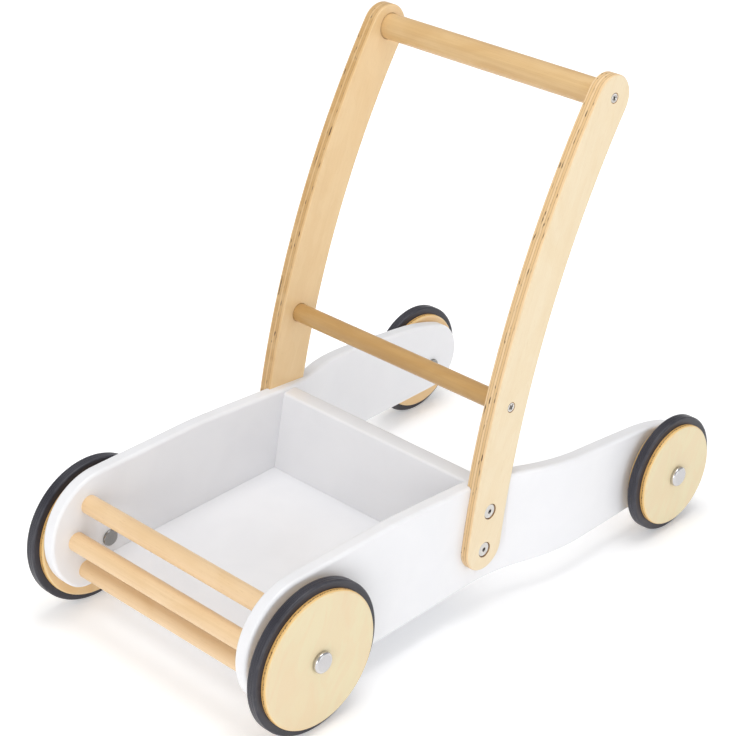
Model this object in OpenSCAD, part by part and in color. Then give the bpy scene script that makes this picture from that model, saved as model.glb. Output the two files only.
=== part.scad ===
// Wooden push walker: a white tray on four wheels with a tall curved push handle.
// The front faces -Y, the wheels stand on z = 0, and the origin is below the middle of the walker.

/* [Wheels] */
// Diameter of a front wheel over its tyre
front_wheel_d = 142; // [126:1:154]
// Diameter of a rear wheel over its tyre
rear_wheel_d = 116; // [103:1:125]
// Distance between the front and the rear axles
wheelbase = 459; // [430:1:490]
// Thickness of a wooden wheel disc
wheel_t = 20.5; // [16:0.5:26]
// How far the tyre stands out of the wooden rim
tyre_proud = 7.2; // [3:0.1:8]
// Width of the tyre
tyre_w = 10; // [6:0.5:12]
// Depth of the groove that holds the tyre
tyre_seat = 3; // [2:0.5:5]
// Rounding of the outer corners of the tyre
tyre_round = 1.6; // [1:0.1:2.8]
// Rounding of the edges of a wheel disc
wheel_round = 2.5; // [1:0.5:4]
// Diameter of the axles
axle_d = 8; // [6:0.5:10]
// Outside diameter of the bush in each wheel
bush_d = 14; // [12:0.5:18]
// Diameter of the outer axle caps
cap_d = 20; // [14:0.5:22]
// How far an outer axle cap stands out
cap_h = 4.5; // [3:0.5:6]
// Diameter of the inner axle caps
inner_cap_d = 16; // [14:0.5:22]
// How far an inner axle cap stands out
inner_cap_h = 2.5; // [2:0.5:4]
// Rounding of the rims of the axle caps
cap_round = 1.2; // [0.5:0.1:1.8]
// Depth of the blind bore in a cap that takes the end of the axle
cap_bore = 1.2; // [0.6:0.1:1.4]
// Diameter of the spacer washer behind each wheel
washer_d = 22; // [19:0.5:26]
// Thickness of the spacer washer
washer_t = 1.2; // [0.8:0.1:3]

/* [Side panels] */
// Inside width between the side panels at the front
tray_w = 234; // [200:1:260]
// Thickness of a side panel
panel_t = 14; // [13:0.5:18]
// Radius of each half of the outward bend, at the middle of the panel
bend_r = 187.5; // [150:0.5:240]
// Distance from the front axle back to the start of the bend
bend_start = 212; // [206:1:225]
// Radius of the round nose
nose_r = 60; // [54:1:66]
// Radius of the curve between the nose and the lower edge
nose_fillet = 30; // [20:1:40]
// Nose centre ahead of the front axle
nose_lead = 4.5; // [0:0.5:10]
// Nose centre above the front axle
nose_lift = 12; // [6:1:17]
// Radius of the round tail
tail_r = 36; // [32:1:40]
// Radius of the slight crown along the sloping top edge
crown_r = 5000; // [3500:100:9000]
// Height that the line of the sloping top edge would pass above the tail
shoulder_gap = 5; // [3:0.5:8]
// Length of top edge that the shoulder curve takes up before the tail
shoulder_run = 43; // [30:1:60]
// Tail centre behind the rear axle
tail_trail = 2; // [0:0.5:8]
// Tail centre above the rear axle
tail_lift = 9; // [4:1:14]
// Level stretch of the top edge behind the nose centre
level_top = 117; // [60:1:170]

/* [Tray] */
// Thickness of the floor panel
floor_t = 10; // [8:0.5:14]
// Top of the floor above the lower edge of the side panels
floor_rise = 24; // [18:1:30]
// Gap between the lower dowel and the front edge of the floor
floor_gap = 9.3; // [4:0.1:14]
// Thickness of the back panel
back_t = 18; // [17:0.5:22]
// Backward lean of the back panel, in degrees
back_lean = 11; // [9:0.5:13]
// Middle of the back panel's thickness ahead of the middle of the bolts
back_ahead = 3; // [0:0.5:4]
// Top of the back panel above the lower edge of the side panels
back_rise = 100; // [85:1:105]
// Diameter of the three front dowels
dowel_d = 18; // [12:0.5:22]
// Depth of the sockets for the dowels in the side panels
dowel_depth = 8; // [5:0.5:10]
// Middle of the upper dowel inside the edge of the nose
upper_dowel_inset = 24; // [20:0.5:28]
// Direction of the upper dowel from the nose centre, in degrees from the rear
upper_dowel_a = 116; // [110:1:122]
// Middle of the middle dowel inside the edge of the nose
middle_dowel_inset = 27; // [22:0.5:30]
// Direction of the middle dowel from the nose centre, in degrees from the rear
middle_dowel_a = 178; // [172:1:184]
// Middle of the lower dowel inside the edge of the nose
lower_dowel_inset = 20; // [17:0.5:24]
// Direction of the lower dowel from the nose centre, in degrees from the rear
lower_dowel_a = 233.5; // [228:0.5:238]
// Diameter of the hidden pegs
peg_d = 6; // [4:0.5:7]
// Length of a hidden peg in the piece that is pegged on
peg_len = 16; // [10:1:24]
// Depth of a hidden peg in the panel that it is pegged to
peg_depth = 8; // [5:0.5:10]

/* [Handle] */
// Thickness of the plywood uprights
upright_t = 13.5; // [11:0.5:18]
// Width of the uprights
upright_w = 45.5; // [36:0.5:50]
// Centres of the round ends of the uprights inside the lower bolt and the handle bar
end_inset = 2.2; // [0:0.1:5]
// Radius of the curve of the uprights, at the middle of their width
upright_r = 925; // [700:5:1200]
// Backward lean of the uprights at their lower bolt, in degrees
upright_lean = 8.6; // [4:0.1:14]
// Lower bolt behind the front axle
foot_setback = 221.5; // [216:0.5:226]
// Lower bolt above the lower edge of the side panels
foot_rise = 38; // [32:1:44]
// Depth of the recess in a side panel that holds the upright
recess = 5.5; // [2:0.5:6.5]
// Distance between the two bolts of an upright, along its curve
bolt_pitch = 38; // [30:1:44]
// Lower bolt to the cross bar, along the curve
cross_along = 138; // [110:1:170]
// Lower bolt to the handle bar, along the curve
handle_along = 421.5; // [380:0.5:460]
// Diameter of the cross bar
cross_d = 18; // [14:0.5:24]
// Diameter of the handle bar
handle_d = 24.5; // [18:0.5:32]
// Depth of the sockets for the bars in the uprights
bar_socket = 4; // [2:0.5:6]

/* [Fasteners] */
// Shank diameter of the upright bolts
bolt_d = 6; // [5:0.5:6.5]
// Head diameter of the upright bolts
bolt_head_d = 13; // [11:0.5:15]
// Head height of the upright bolts
bolt_head_h = 2.4; // [2:0.1:3.5]
// Width across the corners of the hexagon socket
bolt_socket_d = 4.6; // [3:0.1:5.5]
// Depth of the hexagon socket
bolt_socket_depth = 1.8; // [1:0.1:1.9]
// Depth of the counterbore for the bolt head
counterbore = 3.2; // [2:0.1:5]
// Room round a bolt head in its counterbore
head_room = 1.1; // [0.5:0.1:2]
// Length of a bolt inside its threaded insert
bolt_grip = 10; // [6:0.5:12]
// Outside diameter of the threaded inserts
insert_d = 8; // [7.5:0.5:8.5]
// Length of the threaded inserts
insert_len = 14; // [13:0.5:20]
// Depth of the inserts below the ends of the back panel
insert_sink = 1; // [0.5:0.1:3]
// Shank diameter of the bar screws
screw_d = 4.5; // [3.5:0.5:5.5]
// Head diameter of the bar screws
screw_head_d = 9; // [8.5:0.5:10]
// Length of a bar screw
screw_len = 55; // [40:1:70]
// Length of the arms of the cross recess, from end to end
cross_len = 5.4; // [3:0.1:5.6]
// Width of the arms of the cross recess
cross_w = 1.2; // [0.6:0.1:1.6]
// Depth of the cross recess
cross_depth = 1.4; // [0.8:0.1:1.6]

/* [Clearances] */
// Room between pieces that are fixed to each other
fit_gap = 0.1; // [0.05:0.05:0.3]
// Room round a bar in its socket
socket_gap = 0.4; // [0.1:0.1:0.6]
// Radial room between an axle and the bush that runs on it
run_gap = 0.06; // [0.02:0.01:0.1]
// Side play between a wheel and what it runs against
side_play = 0.4; // [0.3:0.1:1]

/* [Hidden] */
$fn = 96;

// Colours of the finishes
lacquer = "#f4f4f5";
birch = "#eed6a6";
beech = "#dfb87c";
rubber = "#3d3c41";
steel = "#c3c3c6";
nylon = "#e6e4dc";

// Cutters run past the faces that they cut by this much
over = 1;

// Half a turn, in degrees
half_turn = 180;
function direction(a) = [cos(a), sin(a)];

// Axles, as [y, z]
walker_len = wheelbase + (front_wheel_d + rear_wheel_d) / 2;
front_axle = [(front_wheel_d - walker_len) / 2, front_wheel_d / 2];
rear_axle = [front_axle[0] + wheelbase, rear_wheel_d / 2];

// Side panels: the cosine and sine of the angle of each half of the bend, with round values
bend_cos = 0.936;
bend_sin = 0.352;
flare = 2 * bend_r * (1 - bend_cos);

// Side panels: distances from the middle plane, and the outline as [y, z]
inner_x = tray_w / 2;
outer_x = inner_x + panel_t;
rear_inner_x = inner_x + flare;
rear_outer_x = outer_x + flare;
nose = [front_axle[0] - nose_lead, front_axle[1] + nose_lift];
tail = [rear_axle[0] + tail_trail, rear_axle[1] + tail_lift];
bottom_z = tail[1] - tail_r;
top_z = nose[1] + nose_r;
slope_from = [nose[0] + level_top, top_z];
bend_y = front_axle[0] + bend_start;
bend_end_y = bend_y + 2 * bend_r * bend_sin;
panel_front_y = nose[0] - nose_r - over;
panel_rear_y = tail[0] + tail_r + over;

// Uprights: the middle of their curve, as [y, z], at a distance along it from the lower bolt
upright_x = outer_x - recess;
upright_out_x = upright_x + upright_t;
bar_end_x = upright_x + bar_socket;
foot = [front_axle[0] + foot_setback, bottom_z + foot_rise];
curve_centre = [foot[0] + upright_r * cos(upright_lean), foot[1] - upright_r * sin(upright_lean)];
function lean_at(along) = upright_lean + along / upright_r * half_turn / PI;
function on_curve(along) = curve_centre + upright_r * direction(half_turn - lean_at(along));
bolt_along = [0, bolt_pitch];

// Tray: y of the back panel's middle plane at a height, which stands just ahead of the bolts
bolt_middle = (on_curve(bolt_along[0]) + on_curve(bolt_along[1])) / 2;
back_half = back_t / 2 / cos(back_lean);
function back_y(z) = bolt_middle[0] - back_ahead + (z - bolt_middle[1]) * tan(back_lean);
floor_top = bottom_z + floor_rise;
floor_bottom = floor_top - floor_t;
floor_mid = (floor_top + floor_bottom) / 2;
back_top = bottom_z + back_rise;
floor_rear_y = back_y(floor_mid) - back_half;
upper_dowel = nose + (nose_r - upper_dowel_inset) * direction(upper_dowel_a);
middle_dowel = nose + (nose_r - middle_dowel_inset) * direction(middle_dowel_a);
lower_dowel = nose + (nose_r - lower_dowel_inset) * direction(lower_dowel_a);
dowels = [upper_dowel, middle_dowel, lower_dowel];
floor_front_y = lower_dowel[0] + dowel_d / 2 + floor_gap;

// Pegs: three along each side of the floor and three in the back panel
peg_shares = [0.2, 0.5, 0.8];
side_peg_y = [for (s = peg_shares) floor_front_y + s * (floor_rear_y - floor_front_y)];
back_peg_x = [for (s = peg_shares) (2 * s - 1) * inner_x];

// Fasteners, along X
bolt_seat_x = upright_out_x - counterbore;
bolt_face_x = bolt_seat_x + bolt_head_h;
insert_end_x = inner_x - insert_sink;
screw_cone_h = (screw_head_d - screw_d) / 2;

// Wheels, along X from the outer face of their panel
wheel_gap = washer_t + side_play;
front_wheel_x = outer_x + wheel_gap;
rear_wheel_x = rear_outer_x + wheel_gap;

// A flat [y, z] outline made solid from x0 to x1
module across(x0, x1) {
    translate([x0, 0, 0])
        rotate([90, 0, 90])
            linear_extrude(height = x1 - x0)
                children();
}

// A round bar along X at a [y, z] place
module rod(at, d, x0, x1) {
    translate([x0, at[0], at[1]])
        rotate([0, 90, 0])
            cylinder(d = d, h = x1 - x0);
}

// A shape turned about X at a [y, z] place, from a [radius, x] outline that starts at x0
module turned(at, x0) {
    translate([x0, at[0], at[1]])
        rotate([0, 90, 0])
            rotate_extrude()
                children();
}

// The left-hand twin of a right-hand piece
module left() {
    mirror([1, 0, 0])
        children();
}

module both_sides() {
    children();
    left() children();
}

// Part of a ring between two directions that are less than a half turn apart
module arc_band(r, half, from, to) {
    far = 2 * (r + half);
    intersection() {
        difference() {
            circle(r = r + half, $fn = 240);
            circle(r = r - half, $fn = 240);
        }
        polygon([[0, 0], far * from, far * (from + to), far * to]);
    }
}

// Seen from above: the strip of a right-hand side panel with its outward bend
module panel_plan(gap = 0) {
    half = panel_t / 2 + gap;
    front_mid = (inner_x + outer_x) / 2;
    rear_mid = front_mid + flare;
    translate([front_mid - half, panel_front_y])
        square([2 * half, bend_y - panel_front_y]);
    translate([front_mid + bend_r, bend_y])
        arc_band(bend_r, half, [-bend_cos, bend_sin], [-1, 0]);
    translate([rear_mid - bend_r, bend_end_y])
        arc_band(bend_r, half, [bend_cos, -bend_sin], [1, 0]);
    translate([rear_mid - half, bend_end_y])
        square([2 * half, panel_rear_y - bend_end_y]);
}

// Seen from the side: round nose, level and then falling top edge, shoulder and round tail
module panel_outline() {
    // The nose and its fillet touch on the line through their centres
    fillet_rise = bottom_z + nose_fillet - nose[1];
    fillet_lead = sqrt(pow(nose_r - nose_fillet, 2) - pow(fillet_rise, 2));
    fillet = nose + [-fillet_lead, fillet_rise];
    away = (fillet - nose) / norm(fillet - nose);
    // The crowned edge touches a circle round the tail, and the shoulder touches both
    run = tail - slope_from;
    ahead = run / norm(run);
    crown_reach = crown_r - tail_r - shoulder_gap;
    crown_along = (norm(run) + (pow(crown_r, 2) - pow(crown_reach, 2)) / norm(run)) / 2;
    crown_drop = sqrt(pow(crown_r, 2) - pow(crown_along, 2));
    crown = slope_from + crown_along * ahead + crown_drop * [ahead[1], -ahead[0]];
    up = direction(atan2(tail[1] - crown[1], tail[0] - crown[0]) + half_turn / PI * shoulder_run / crown_r);
    slope_to = crown + crown_r * up;
    off = slope_to - tail;
    shoulder_r = (off * off - pow(tail_r, 2)) / (2 * (off * up - tail_r));
    shoulder = slope_to - shoulder_r * up;
    touch = tail + tail_r * (tail - shoulder) / norm(tail - shoulder);

    intersection() {
        translate(nose)
            circle(r = nose_r);
        polygon([
            nose, nose + 2 * nose_r * away, nose + [-2 * nose_r, nose_r],
            nose + [-nose_r, 2 * nose_r], nose + [0, 2 * nose_r]
        ]);
    }
    translate(fillet)
        circle(r = nose_fillet);
    intersection() {
        translate(shoulder)
            circle(r = shoulder_r, $fn = 240);
        polygon([
            [shoulder[0], bottom_z], [tail[0], bottom_z], tail,
            tail + 2 * (touch - tail), slope_to + tail_r * up, slope_to
        ]);
    }
    intersection() {
        translate(crown)
            circle(r = crown_r, $fn = 1440);
        polygon([nose, tail, slope_to, slope_to + tail_r * up, slope_from + tail_r * up, slope_from]);
    }
    translate(tail)
        circle(r = tail_r);
    polygon([
        [fillet[0], bottom_z], [tail[0], bottom_z], tail, slope_to,
        slope_from, [nose[0], top_z], nose, fillet
    ]);
}

// Seen from the side: a curved upright with round ends
module upright_outline(gap = 0) {
    half = upright_w / 2 + gap;
    ends = [end_inset, handle_along - end_inset];
    translate(curve_centre)
        arc_band(
            upright_r, half,
            direction(half_turn - lean_at(ends[1])), direction(half_turn - lean_at(ends[0]))
        );
    for (s = ends)
        translate(on_curve(s))
            circle(r = half);
}

// The right-hand side panel
module side_panel() {
    color(lacquer)
        difference() {
            intersection() {
                linear_extrude(height = top_z + over)
                    panel_plan();
                across(0, rear_outer_x + over)
                    panel_outline();
            }
            for (d = dowels)
                rod(d, dowel_d + fit_gap, inner_x - over, inner_x + dowel_depth);
            rod(front_axle, axle_d + fit_gap, inner_x - over, outer_x + over);
            rod(rear_axle, axle_d + fit_gap, rear_inner_x - over, rear_outer_x + over);
            across(upright_x, rear_outer_x + over)
                upright_outline(fit_gap);
            for (s = bolt_along)
                rod(on_curve(s), bolt_d + fit_gap, inner_x - over, rear_outer_x);
            for (y = side_peg_y)
                rod([y, floor_mid], peg_d + fit_gap, inner_x - over, inner_x + peg_depth);
        }
}

module left_side_panel() {
    left() side_panel();
}

module right_side_panel() {
    side_panel();
}

module floor_panel() {
    half = inner_x - fit_gap;
    color(lacquer)
        difference() {
            across(-half, half)
                polygon([
                    [floor_front_y, floor_bottom],
                    [back_y(floor_bottom) - back_half, floor_bottom],
                    [back_y(floor_top) - back_half, floor_top],
                    [floor_front_y, floor_top]
                ]);
            both_sides()
                for (y = side_peg_y)
                    rod([y, floor_mid], peg_d + fit_gap, inner_x - peg_len, inner_x + over);
            for (x = back_peg_x)
                translate([x, floor_rear_y - peg_len, floor_mid])
                    rotate([-90, 0, 0])
                        cylinder(d = peg_d + fit_gap, h = peg_len + back_t);
        }
}

// The back panel stands between the side panels, which its ends follow
module back_panel() {
    half = (inner_x + outer_x) / 2;
    color(lacquer)
        difference() {
            across(-half, half)
                polygon([
                    [back_y(floor_bottom) - back_half, floor_bottom],
                    [back_y(floor_bottom) + back_half, floor_bottom],
                    [back_y(back_top) + back_half, back_top],
                    [back_y(back_top) - back_half, back_top]
                ]);
            both_sides() {
                linear_extrude(height = top_z + over)
                    panel_plan(fit_gap);
                for (s = bolt_along)
                    rod(on_curve(s), insert_d + fit_gap, insert_end_x - insert_len, half + over);
            }
            for (x = back_peg_x)
                translate([x, floor_rear_y - over, floor_mid])
                    rotate([-90, 0, 0])
                        cylinder(d = peg_d + fit_gap, h = peg_depth + over);
        }
}

module front_dowel(at) {
    reach = inner_x + dowel_depth - fit_gap;
    color(beech)
        rod(at, dowel_d, -reach, reach);
}

module front_dowel_upper() {
    front_dowel(upper_dowel);
}

module front_dowel_middle() {
    front_dowel(middle_dowel);
}

module front_dowel_lower() {
    front_dowel(lower_dowel);
}

// The right-hand upright, with counterbores, countersinks and sockets for its bolts, screws and bars
module upright() {
    color(birch)
        difference() {
            across(upright_x, upright_out_x)
                upright_outline();
            for (s = bolt_along) {
                rod(on_curve(s), bolt_d + fit_gap, upright_x - over, upright_out_x);
                rod(on_curve(s), bolt_head_d + 2 * head_room, bolt_seat_x, upright_out_x + over);
            }
            for (s = [cross_along, handle_along])
                turned(on_curve(s), upright_out_x)
                    screw_outline(fit_gap / 2, over);
            rod(on_curve(cross_along), cross_d + socket_gap, upright_x - over, bar_end_x);
            rod(on_curve(handle_along), handle_d + socket_gap, upright_x - over, bar_end_x);
        }
}

module left_upright() {
    left() upright();
}

module right_upright() {
    upright();
}

// Half section of a bar screw below its head's face, for turning, as [radius, x]
module screw_outline(gap, above) {
    polygon([
        [0, -screw_len - gap],
        [screw_d / 2 + gap, -screw_len - gap],
        [screw_d / 2 + gap, -screw_cone_h],
        [screw_head_d / 2 + gap, 0],
        [screw_head_d / 2 + gap, above],
        [0, above]
    ]);
}

// A bar that ends in sockets in the uprights, with a pilot hole for the screw in each end
module bar(along, d) {
    color(beech)
        difference() {
            rod(on_curve(along), d, -bar_end_x, bar_end_x);
            both_sides()
                turned(on_curve(along), upright_out_x)
                    screw_outline(fit_gap / 2, 0);
        }
}

module handle_bar() {
    bar(handle_along, handle_d);
}

module cross_bar() {
    bar(cross_along, cross_d);
}

// The two screws that hold a bar, with a cross recess in their heads
module bar_screws(along) {
    at = on_curve(along);
    color(steel)
        both_sides()
            difference() {
                turned(at, upright_out_x)
                    screw_outline(0, 0);
                for (a = [0, 90])
                    translate([upright_out_x, at[0], at[1]])
                        rotate([a, 0, 0])
                            cube([2 * cross_depth, cross_len, cross_w], center = true);
            }
}

module handle_bar_screws() {
    bar_screws(handle_along);
}

module cross_bar_screws() {
    bar_screws(cross_along);
}

// Four socket bolts through the uprights and side panels into the back panel
module upright_bolts() {
    color(steel)
        both_sides()
            for (s = bolt_along)
                difference() {
                    union() {
                        rod(on_curve(s), bolt_head_d, bolt_seat_x, bolt_face_x);
                        rod(on_curve(s), bolt_d, insert_end_x - bolt_grip, bolt_seat_x + over);
                    }
                    translate([bolt_face_x - bolt_socket_depth, on_curve(s)[0], on_curve(s)[1]])
                        rotate([0, 90, 0])
                            cylinder(d = bolt_socket_d, h = bolt_socket_depth + over, $fn = 6);
                }
}

module bolt_inserts() {
    color(steel)
        both_sides()
            for (s = bolt_along)
                difference() {
                    rod(on_curve(s), insert_d, insert_end_x - insert_len + fit_gap, insert_end_x);
                    rod(on_curve(s), bolt_d + fit_gap, insert_end_x - insert_len, insert_end_x + over);
                }
}

module floor_pegs() {
    color(beech)
        both_sides()
            for (y = side_peg_y)
                rod([y, floor_mid], peg_d, inner_x - peg_len + fit_gap, inner_x + peg_depth - fit_gap);
}

module back_panel_pegs() {
    color(beech)
        for (x = back_peg_x)
            translate([x, floor_rear_y - peg_len + fit_gap, floor_mid])
                rotate([-90, 0, 0])
                    cylinder(d = peg_d, h = peg_len + peg_depth - 2 * fit_gap);
}

// Spacer washers on the panels, behind the wheels
module washer(axle, panel_x) {
    difference() {
        rod(axle, washer_d, panel_x, panel_x + washer_t);
        rod(axle, axle_d + fit_gap, panel_x - over, panel_x + washer_t + over);
    }
}

module wheel_washers() {
    color(steel)
        both_sides() {
            washer(front_axle, outer_x);
            washer(rear_axle, rear_outer_x);
        }
}

// A right-hand axle from inside its inner cap to inside its outer cap
module axle(at, panel_x, wheel_x) {
    color(steel)
        rod(at, axle_d, panel_x - cap_bore + fit_gap, wheel_x + wheel_t + side_play + cap_bore - fit_gap);
}

// Half section of a cap with a rounded rim, for turning, as [radius, x]
module cap_outline(d, h) {
    r = d / 2;
    difference() {
        union() {
            square([r, h - cap_round]);
            square([r - cap_round, h]);
            translate([r - cap_round, h - cap_round])
                circle(r = cap_round);
        }
        translate([-r, -r])
            square([r, 3 * r]);
        translate([0, -over])
            square([(axle_d + fit_gap) / 2, cap_bore + over]);
    }
}

// A right-hand cap on the outer end of an axle
module outer_cap(at, wheel_x) {
    color(steel)
        turned(at, wheel_x + wheel_t + side_play)
            cap_outline(cap_d, cap_h);
}

// A right-hand cap on the inner end of an axle, against the inside of its panel
module inner_cap(at, panel_x) {
    color(steel)
        translate([2 * panel_x, 0, 0])
            left()
                turned(at, panel_x)
                    cap_outline(inner_cap_d, inner_cap_h);
}

// Half section of a wheel disc with rounded rims and a groove for the tyre, as [radius, x]
module disc_outline(wheel_d) {
    r = wheel_d / 2 - tyre_proud;
    difference() {
        union() {
            translate([0, wheel_round])
                square([r, wheel_t - 2 * wheel_round]);
            square([r - wheel_round, wheel_t]);
            for (x = [wheel_round, wheel_t - wheel_round])
                translate([r - wheel_round, x])
                    circle(r = wheel_round);
        }
        translate([0, -over])
            square([(bush_d + fit_gap) / 2, wheel_t + 2 * over]);
        translate([r - tyre_seat, (wheel_t - tyre_w) / 2])
            square([tyre_seat + over, tyre_w]);
    }
}

module disc(at, wheel_d, wheel_x) {
    color(birch)
        turned(at, wheel_x)
            disc_outline(wheel_d);
}

// Half section of a tyre with rounded outer corners, as [radius, x]
module tyre_outline(wheel_d) {
    r0 = wheel_d / 2 - tyre_proud - tyre_seat + fit_gap / 2;
    r1 = wheel_d / 2;
    x0 = (wheel_t - tyre_w) / 2 + fit_gap / 2;
    w = tyre_w - fit_gap;
    translate([r0, x0])
        square([r1 - tyre_round - r0, w]);
    translate([r0, x0 + tyre_round])
        square([r1 - r0, w - 2 * tyre_round]);
    for (x = [x0 + tyre_round, x0 + w - tyre_round])
        translate([r1 - tyre_round, x])
            circle(r = tyre_round);
}

module tyre(at, wheel_d, wheel_x) {
    color(rubber)
        turned(at, wheel_x)
            tyre_outline(wheel_d);
}

module bush(at, wheel_x) {
    color(nylon)
        difference() {
            rod(at, bush_d, wheel_x, wheel_x + wheel_t);
            rod(at, axle_d + 2 * run_gap, wheel_x - over, wheel_x + wheel_t + over);
        }
}

module front_left_axle() {
    left() axle(front_axle, inner_x, front_wheel_x);
}

module front_right_axle() {
    axle(front_axle, inner_x, front_wheel_x);
}

module rear_left_axle() {
    left() axle(rear_axle, rear_inner_x, rear_wheel_x);
}

module rear_right_axle() {
    axle(rear_axle, rear_inner_x, rear_wheel_x);
}

module front_left_outer_cap() {
    left() outer_cap(front_axle, front_wheel_x);
}

module front_right_outer_cap() {
    outer_cap(front_axle, front_wheel_x);
}

module rear_left_outer_cap() {
    left() outer_cap(rear_axle, rear_wheel_x);
}

module rear_right_outer_cap() {
    outer_cap(rear_axle, rear_wheel_x);
}

module front_left_inner_cap() {
    left() inner_cap(front_axle, inner_x);
}

module front_right_inner_cap() {
    inner_cap(front_axle, inner_x);
}

module rear_left_inner_cap() {
    left() inner_cap(rear_axle, rear_inner_x);
}

module rear_right_inner_cap() {
    inner_cap(rear_axle, rear_inner_x);
}

module front_left_disc() {
    left() disc(front_axle, front_wheel_d, front_wheel_x);
}

module front_right_disc() {
    disc(front_axle, front_wheel_d, front_wheel_x);
}

module rear_left_disc() {
    left() disc(rear_axle, rear_wheel_d, rear_wheel_x);
}

module rear_right_disc() {
    disc(rear_axle, rear_wheel_d, rear_wheel_x);
}

module front_left_tyre() {
    left() tyre(front_axle, front_wheel_d, front_wheel_x);
}

module front_right_tyre() {
    tyre(front_axle, front_wheel_d, front_wheel_x);
}

module rear_left_tyre() {
    left() tyre(rear_axle, rear_wheel_d, rear_wheel_x);
}

module rear_right_tyre() {
    tyre(rear_axle, rear_wheel_d, rear_wheel_x);
}

module front_left_bush() {
    left() bush(front_axle, front_wheel_x);
}

module front_right_bush() {
    bush(front_axle, front_wheel_x);
}

module rear_left_bush() {
    left() bush(rear_axle, rear_wheel_x);
}

module rear_right_bush() {
    bush(rear_axle, rear_wheel_x);
}

left_side_panel();
right_side_panel();
floor_panel();
back_panel();
front_dowel_upper();
front_dowel_middle();
front_dowel_lower();
left_upright();
right_upright();
handle_bar();
cross_bar();
handle_bar_screws();
cross_bar_screws();
upright_bolts();
bolt_inserts();
floor_pegs();
back_panel_pegs();
wheel_washers();
front_left_axle();
front_right_axle();
rear_left_axle();
rear_right_axle();
front_left_outer_cap();
front_right_outer_cap();
rear_left_outer_cap();
rear_right_outer_cap();
front_left_inner_cap();
front_right_inner_cap();
rear_left_inner_cap();
rear_right_inner_cap();
front_left_disc();
front_right_disc();
rear_left_disc();
rear_right_disc();
front_left_tyre();
front_right_tyre();
rear_left_tyre();
rear_right_tyre();
front_left_bush();
front_right_bush();
rear_left_bush();
rear_right_bush();
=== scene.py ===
import math

import bmesh
import bpy
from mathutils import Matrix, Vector


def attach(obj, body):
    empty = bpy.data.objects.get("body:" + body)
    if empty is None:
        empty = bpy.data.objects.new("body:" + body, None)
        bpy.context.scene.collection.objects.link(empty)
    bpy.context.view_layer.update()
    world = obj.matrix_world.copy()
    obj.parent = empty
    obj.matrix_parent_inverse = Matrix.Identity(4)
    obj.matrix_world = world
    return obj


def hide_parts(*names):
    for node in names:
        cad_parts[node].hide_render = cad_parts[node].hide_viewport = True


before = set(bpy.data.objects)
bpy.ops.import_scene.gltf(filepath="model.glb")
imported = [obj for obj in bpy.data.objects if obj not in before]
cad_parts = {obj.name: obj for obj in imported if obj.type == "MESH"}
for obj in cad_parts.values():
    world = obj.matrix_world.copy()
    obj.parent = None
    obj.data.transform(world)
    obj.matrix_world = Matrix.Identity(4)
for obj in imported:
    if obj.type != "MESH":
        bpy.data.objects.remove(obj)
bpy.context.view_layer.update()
mm = 0.001  # the pieces are laid out in millimetres

# Shader helpers


def node(tree, kind, inputs=None, **settings):
    made = tree.nodes.new(kind)
    for key, value in settings.items():
        setattr(made, key, value)
    for key, value in (inputs or {}).items():
        if isinstance(value, bpy.types.NodeSocket):
            tree.links.new(value, made.inputs[key])
        else:
            made.inputs[key].default_value = value
    return made


def calc(tree, operation, a, b=0.0):
    return node(tree, "ShaderNodeMath", {0: a, 1: b}, operation=operation).outputs[0]


def fade(tree, value, low, high):
    # Rises smoothly from 0 at low to 1 at high
    inputs = {"Value": value, "From Min": low, "From Max": high}
    return node(tree, "ShaderNodeMapRange", inputs, interpolation_type="SMOOTHSTEP").outputs[0]


def spread(tree, value, low, high):
    # A 0 to 1 value laid out between two others
    return node(tree, "ShaderNodeMapRange", {"Value": value, "To Min": low, "To Max": high}).outputs[0]


def tint(tree, factor, first, second):
    # From the first colour at 0 to the second at 1
    return node(tree, "ShaderNodeMix", {0: factor, 6: first, 7: second}, data_type="RGBA").outputs[2]


def cover(tree, base, top, mask, share):
    # Lays one colour over another where the mask is, at a share of its strength
    return tint(tree, calc(tree, "MULTIPLY", mask, share), base, top)


def noise(tree, vector, scale, detail=3.0, rough=0.55, skew=0.0):
    inputs = {"Vector": vector, "Scale": scale, "Detail": detail, "Roughness": rough, "Distortion": skew}
    return node(tree, "ShaderNodeTexNoise", inputs).outputs[0]


def stretch(tree, vector, scale, turn=(0.0, 0.0, 0.0), shift=(0.0, 0.0, 0.0)):
    inputs = {"Vector": vector, "Location": shift, "Rotation": turn, "Scale": scale}
    return node(tree, "ShaderNodeMapping", inputs).outputs[0]


def place(tree):
    return node(tree, "ShaderNodeTexCoord").outputs["Object"]


def newGroup(name, inputs, outputs):
    tree = bpy.data.node_groups.new(name, "ShaderNodeTree")
    for label, kind in inputs:
        tree.interface.new_socket(label, in_out="INPUT", socket_type=kind)
    for label, kind in outputs:
        tree.interface.new_socket(label, in_out="OUTPUT", socket_type=kind)
    return tree, tree.nodes.new("NodeGroupInput").outputs, tree.nodes.new("NodeGroupOutput").inputs


def useGroup(tree, group, inputs):
    return node(tree, "ShaderNodeGroup", inputs, node_tree=group).outputs


def newMaterial(name, look):
    material = bpy.data.materials.new(name)
    material.use_nodes = True
    tree = material.node_tree
    shader = tree.nodes["Principled BSDF"]
    for key, value in look.items():
        shader.inputs[key].default_value = value
    return material, tree, shader


def paint(tree, shader, colour, rough):
    tree.links.new(colour, shader.inputs["Base Color"])
    tree.links.new(rough, shader.inputs["Roughness"])


def bump(tree, shader, height, depth, strength):
    inputs = {"Height": height, "Distance": depth, "Strength": strength}
    tree.links.new(node(tree, "ShaderNodeBump", inputs).outputs[0], shader.inputs["Normal"])


print("stage: shared surface effects")

vectorSocket, floatSocket = "NodeSocketVector", "NodeSocketFloat"

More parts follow.
